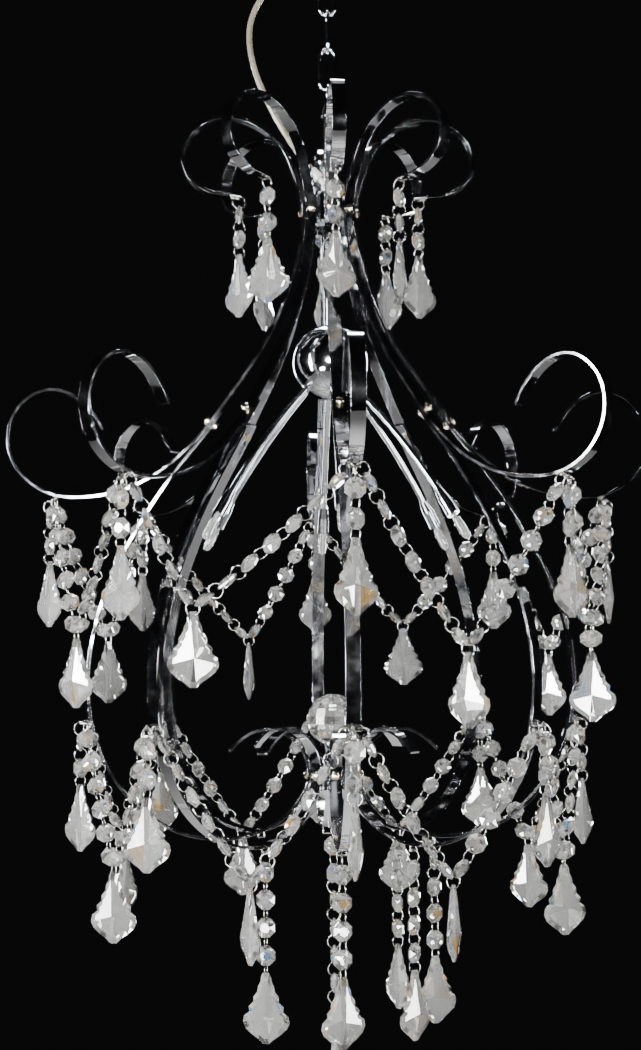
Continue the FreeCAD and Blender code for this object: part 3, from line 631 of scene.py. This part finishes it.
# %% All the strings
HOOKS = {"top": (71.5, 372.9, (-0.99, -0.14), 7.6),
         "mid": (218.4, 129.6, (0.82, -0.57), 8.0),
         "lower": (194.0, -41.0, (1.0, 0.0), 8.2),
         "bottom": (77.0, -134.6, (0.0, -1.0), 5.0)}
FACING = {"top": [25, 68, 37, 131, 242, 239, 304, 340],
          "mid": [30, 38, 66, 143, 210, 231, 304, 325],
          "lower": [70, 40, 48, 155, 225, 225, 315, 335]}
BOTTOM_FACING = {0: 20, 45: 45, 90: 25, 135: 120, 315: 345}
LONG_STRING = polar(35.0, -118.5, 0, -3.0)
LONG_FACING = 88.0
SHORT_BEADS, BOTTOM_BEADS, LONG_BEADS = 2, 4, 7

strings = 0
for level_name, facings in FACING.items():
    radius, height = HOOKS[level_name][:2]
    for number, (turn, facing_turn) in enumerate(zip(TURNS, facings), 1):
        name = "%s_string_%d" % (level_name, number)
        dice = random.Random(name)
        links = hanging_links(polar(radius, height, turn), turn, SHORT_BEADS, facing_turn, dice)
        build_links(name, links, name, name, dice)
        strings += 1
for number, (turn, facing_turn) in enumerate(BOTTOM_FACING.items(), 1):
    radius, height = HOOKS["bottom"][:2]
    name = "bottom_string_%d" % number
    dice = random.Random(name)
    links = hanging_links(polar(radius, height, turn), turn, BOTTOM_BEADS, facing_turn, dice)
    build_links(name, links, name, name, dice)
    strings += 1
dice = random.Random("long")
links = hanging_links(LONG_STRING, 0, LONG_BEADS, LONG_FACING, dice)
build_links("long_string", links, "long_string", "long_string", dice)
print(strings + 1, "strings")

# %% [markdown]
# ## Swags
# A swag is a row of the same rings and beads, hung between the legs of neighbouring
# hooks, with a drop on its lowest ring. It hangs as a chain does: steepest at the hooks
# and flatter at the low ring. The slopes of each half are eased evenly, and bisection
# finds the depth at which the two halves just span the gap between their hooks.

# %% Slopes of a swag
FIRST_SLOPE = 54.0
SLOPE_SPREAD = 9.0
LEG_HANG = HANG_DROP - 0.45
STEEPEST = 80.0


def half_links(beads, mean_slope):
    """(length, slope) of each link from the hook to the low ring's centre."""
    rows = [(LEG_HANG + RING_TO_HOLE, FIRST_SLOPE)]
    count = 2 * beads
    for i in range(1, count):
        slope = mean_slope + SLOPE_SPREAD * (0.5 - i / (count - 1.0))
        rows.append((HOLE_SPACING if i % 2 else 2 * RING_TO_HOLE, slope))
    rows.append((RING_TO_HOLE, rows[-1][1]))
    return rows


def run_of(rows):
    return sum(length * cos(radians(slope)) for length, slope in rows)


def drop_of(rows):
    return sum(length * sin(radians(slope)) for length, slope in rows)


def bisect(too_low, low, high):
    for _ in range(60):
        middle = (low + high) / 2
        if too_low(middle):
            low = middle
        else:
            high = middle
    return (low + high) / 2


def slope_for_drop(beads, depth):
    return bisect(lambda slope: drop_of(half_links(beads, slope)) < depth, 10.0, 85.0)


def swag_depth(halves, chord):
    def spans_more(depth):
        return sum(run_of(half_links(n, slope_for_drop(n, depth))) for n in halves) > chord
    return bisect(spans_more, 20.0, drop_of(half_links(min(halves), STEEPEST)))


# %% [markdown]
# The links of a half swag twist as they go down, most in the middle, and come back flat
# where the hook and the low ring hold them. The drop turns freely under the low ring.

# %% Links of a swag
def half_swag_links(start, along, across, rows, most_twist, dice):
    links = []
    here = start
    for i, (length, slope) in enumerate(rows[:-1]):
        u = along * cos(radians(slope)) - UP * sin(radians(slope))
        twist = most_twist * sin(pi * i / (len(rows) - 1)) ** 2
        twist += dice.uniform(-7, 7) if i else 0
        facing = Matrix.Rotation(radians(twist), 3, u) @ u.cross(across)
        if i == 0:
            links.append((RING, ring_place(here + u * LEG_HANG * MM, u, facing)))
        elif i % 2:
            links.append((BEAD, flat_place(here + u * length / 2 * MM, u, facing)))
        else:
            links.append((RING, ring_place(here + u * length / 2 * MM, u, facing)))
        here = here + u * length * MM
    length, slope = rows[-1]
    u = along * cos(radians(slope)) - UP * sin(radians(slope))
    return links, here + u * length * MM


def swag_links(level_name, turn, halves, leg_share, drop_turn, dice):
    radius, height, (run, rise), reach = HOOKS[level_name]
    back = leg_share * reach / hypot(run, rise)
    ends = [polar(radius - run * back, height - rise * back, turn, HOOK_HALF_SPAN),
            polar(radius - run * back, height - rise * back, turn + 45, -HOOK_HALF_SPAN)]
    chord = ends[1] - ends[0]
    along = chord.normalized()
    across = UP.cross(along)
    depth = swag_depth(halves, chord.length / MM)
    links = []
    for start, way, beads in zip(ends, (along, -along), halves):
        rows = half_links(beads, slope_for_drop(beads, depth))
        most_twist = dice.choice((-1, 1)) * dice.uniform(40, 80)
        made, low_ring = half_swag_links(start, way, across, rows, most_twist, dice)
        links += made
    links.append((RING, ring_place(low_ring, along, UP)))
    hole = low_ring - UP * RING_TO_HOLE * MM
    links.append((DROP, flat_place(hole, -UP, outward(drop_turn))))
    return links, depth


# %% All the swags
SWAG_BEADS = {"mid": [(7, 7), (7, 7), (7, 7), (6, 6), (6, 7), (6, 7), (6, 7), (5, 7)],
              "lower": [(6, 6)] * 8}
SWAG_LEG_SHARE = {"mid": 0.33, "lower": 0.42}
SWAG_FACING = {"mid": [312, 335, 130, 176, 255, 215, 320, 10],
               "lower": [68, 20, 140, 160, 200, 240, 340, 290]}

for level_name, all_halves in SWAG_BEADS.items():
    dice = random.Random(level_name)
    links = []
    depths = []
    for turn, halves, drop_turn in zip(TURNS, all_halves, SWAG_FACING[level_name]):
        made, depth = swag_links(level_name, turn, halves, SWAG_LEG_SHARE[level_name], drop_turn, dice)
        links += made
        depths.append(round(depth, 1))
    name = level_name + "_swags"
    build_links(level_name + "_swag", links, "chandelier", name, dice)
    print(name, len(links), "links, swags", min(depths), "to", max(depths), "mm deep")

# %% [markdown]
# ## Faceted ball
# The ball on the bottom stem is cut all over with small flats. Its frame node has them
# already, so it only needs the painted facet light that the crystal finish reads.

# %% Faceted ball
# painted light: random bright, dim and tinted facets stand for reflections and fire
paint_facet_light(frame["nodes"]["crystal_ball"].data, random.Random("ball"))
print("ball:", len(frame["nodes"]["crystal_ball"].data.polygons), "faces")

# %% [markdown]
# ## Capsule lamps
# Each lamp is a small glass capsule with two pins. Its foot is pinched flat round the
# pins, the rest is a round bulb with a blunt tip, and a short tungsten coil stands
# inside. The half outline is spun into a bulb, and the foot's points are then pressed
# flat. The lamps point down and outwards from the middle ball, on thin tubes.

# %% One lamp, pointing up from the origin
HOLDER_LENGTH = 23.0
BULB_OUTLINE = [(0.0, 6.4), (2.3, 6.4), (2.9, 8.5), (3.1, 17.0), (3.2, 20.0), (3.55, 24.0),
                (3.6, 33.0), (3.3, 36.2), (2.2, 38.4), (0.8, 39.2), (0.0, 39.3)]
PINCH_TOP = 21.0
PINCH_FLAT = 0.55


def spun(bm, outline, steps):
    chain = [bm.verts.new((r * MM, 0, z * MM)) for r, z in outline]
    edges = [bm.edges.new(pair) for pair in zip(chain[:-1], chain[1:])]
    bmesh.ops.spin(bm, geom=chain + edges, cent=(0, 0, 0), axis=(0, 0, 1), angle=2 * pi,
                   steps=steps, use_merge=True)
    bmesh.ops.remove_doubles(bm, verts=bm.verts, dist=0.00001)
    bmesh.ops.recalc_face_normals(bm, faces=bm.faces)


bm = bmesh.new()
spun(bm, BULB_OUTLINE, 20)
foot = [v for v in bm.verts if v.co.z < PINCH_TOP * MM]
bmesh.ops.scale(bm, vec=(1, PINCH_FLAT, 1), verts=foot)
bulb_master = as_mesh(bm, "bulb_master", smooth=True)

# the coil: a wire circle swept up in a screw, and two straight legs down to the pins
COIL_RADIUS, COIL_RISE, COIL_TURNS, COIL_WIRE = 0.9, 6.0, 4, 0.18
COIL_FOOT = 25.5
bm = bmesh.new()
bmesh.ops.create_circle(bm, segments=5, radius=COIL_WIRE * MM, cap_ends=True)
bmesh.ops.rotate(bm, matrix=Matrix.Rotation(pi / 2, 3, "X"), verts=bm.verts)
bmesh.ops.translate(bm, vec=(COIL_RADIUS * MM, 0, COIL_FOOT * MM), verts=bm.verts)
steps = 10 * COIL_TURNS
bmesh.ops.spin(bm, geom=bm.faces[:] + bm.edges[:] + bm.verts[:], cent=(0, 0, 0), axis=(0, 0, 1),
               dvec=(0, 0, COIL_RISE / steps * MM), angle=2 * pi * COIL_TURNS, steps=steps)
for side in (-1, 1):
    top = COIL_FOOT + (COIL_RISE if side > 0 else 0)
    rod = bmesh.ops.create_cone(bm, cap_ends=True, segments=6, radius1=0.25 * MM,
                                radius2=0.25 * MM, depth=(top - 7.0) * MM)["verts"]
    bmesh.ops.translate(bm, vec=(side * 0.9 * MM, 0, (top + 7.0) / 2 * MM), verts=rod)
bmesh.ops.recalc_face_normals(bm, faces=bm.faces)
coil_master = as_mesh(bm, "coil_master", smooth=True)
print("lamp:", len(bulb_master.polygons), "+", len(coil_master.polygons), "faces")

# %% [markdown]
# A lamp tube leaves the ball 45 degrees below the level and bends slightly down on a
# long arc, and the lamp follows the tube's end.

# %% Six lamps
BALL_RADIUS, BALL_HEIGHT = 30.0, 240.0
LAMP_DIP, TUBE_STRAIGHT, TUBE_BEND, TUBE_TURN = radians(45), 8.0, 515.0, radians(12.6)
start = (BALL_RADIUS - 6) + TUBE_STRAIGHT
end_dip = LAMP_DIP + TUBE_TURN
lamp_radius = start * cos(LAMP_DIP) + TUBE_BEND * (sin(end_dip) - sin(LAMP_DIP))
lamp_height = BALL_HEIGHT - start * sin(LAMP_DIP) - TUBE_BEND * (cos(LAMP_DIP) - cos(end_dip))
bulbs, coils = bmesh.new(), bmesh.new()
for i in range(6):
    turn = 60.0 * i
    axis = outward(turn) * cos(end_dip) - UP * sin(end_dip)
    place = laid(polar(lamp_radius, lamp_height, turn), sideways(turn), axis)
    stamp(bulbs, bulb_master, place)
    stamp(coils, coil_master, place)
add_piece(as_mesh(bulbs, "capsule_bulbs", smooth=True), lamp_glass, "chandelier",
          ["capsule_lamps"])
add_piece(as_mesh(coils, "lamp_coils", smooth=True), silver_wire, "chandelier")
print("lamps start at radius", round(lamp_radius, 1), "height", round(lamp_height, 1))

# %% [markdown]
# ## Floor and light
# Chrome and crystal show what stands round them, so the studio matters as much as the
# finishes. The surroundings are dark, which keeps the bars nearly black, and a few
# large soft panels draw bright lines along their edges and fill the facets. The pale
# floor below sends some light back up into the drops.

# %% Floor
FLOOR_DROP = 520.0
FLOOR_SIZE = 3.0
floor_mesh = bpy.data.meshes.new("floor")
bm = bmesh.new()
bmesh.ops.create_grid(bm, x_segments=1, y_segments=1, size=FLOOR_SIZE / 2)
floor_height = cad_box[0][2] - FLOOR_DROP * MM
bmesh.ops.translate(bm, vec=(0, 0, floor_height), verts=bm.verts)
bm.to_mesh(floor_mesh)
bm.free()
floor_paint, shader = finish("floor_paint", Roughness=0.7)
vary(floor_paint, shader, "Base Color", noise(floor_paint, 6), (0.70, 0.69, 0.67, 1), (0.74, 0.73, 0.71, 1))
floor_mesh.materials.append(floor_paint)
floor = bpy.data.objects.new("floor", floor_mesh)
bpy.context.scene.collection.objects.link(floor)
print("floor at", round(floor_height, 3))


# %% Lights
# a grid on each panel keeps its light off the floor, which the bars would mirror
PANEL_SPREAD = radians(90)


def panel(name, radius, height, turn, size, watts, shape="RECTANGLE"):
    """Soft panel that looks at the middle of the frame."""
    data = bpy.data.lights.new(name, "AREA")
    data.shape = shape
    data.size, data.size_y = size
    data.energy = watts
    data.spread = PANEL_SPREAD
    light = bpy.data.objects.new(name, data)
    bpy.context.scene.collection.objects.link(light)
    place = polar(radius, height, turn)
    target = polar(0, 100)
    light.matrix_world = Matrix.Translation(place) @ (
        (target - place).to_track_quat("-Z", "Y").to_matrix().to_4x4())


panel("front_left_box", 1500, 170, -62, (0.36, 0.36), 15.5, "ELLIPSE")
panel("front_right_box", 1500, 170, -9, (0.28, 0.28), 10, "ELLIPSE")
panel("low_left_box", 1500, -500, -30, (0.36, 0.20), 5.5)
panel("low_right_box", 1500, -450, 34, (0.36, 0.20), 5.5)
panel("left_panel", 1500, 150, -66, (0.14, 1.2), 9)
panel("right_panel", 1500, 100, 70, (0.12, 1.2), 7.5)
panel("back_left_strip", 1600, 200, -152, (0.06, 1.4), 5.5)
panel("back_right_strip", 1600, 150, 150, (0.06, 1.4), 5.5)
panel("top_panel", 900, 1500, 180, (0.4, 0.4), 6.5)

world = bpy.data.worlds.new("studio")
world.use_nodes = True
world.node_tree.nodes["Background"].inputs["Color"].default_value = (0.004, 0.004, 0.0045, 1)
bpy.context.scene.world = world
print(len(bpy.data.lights), "lights")
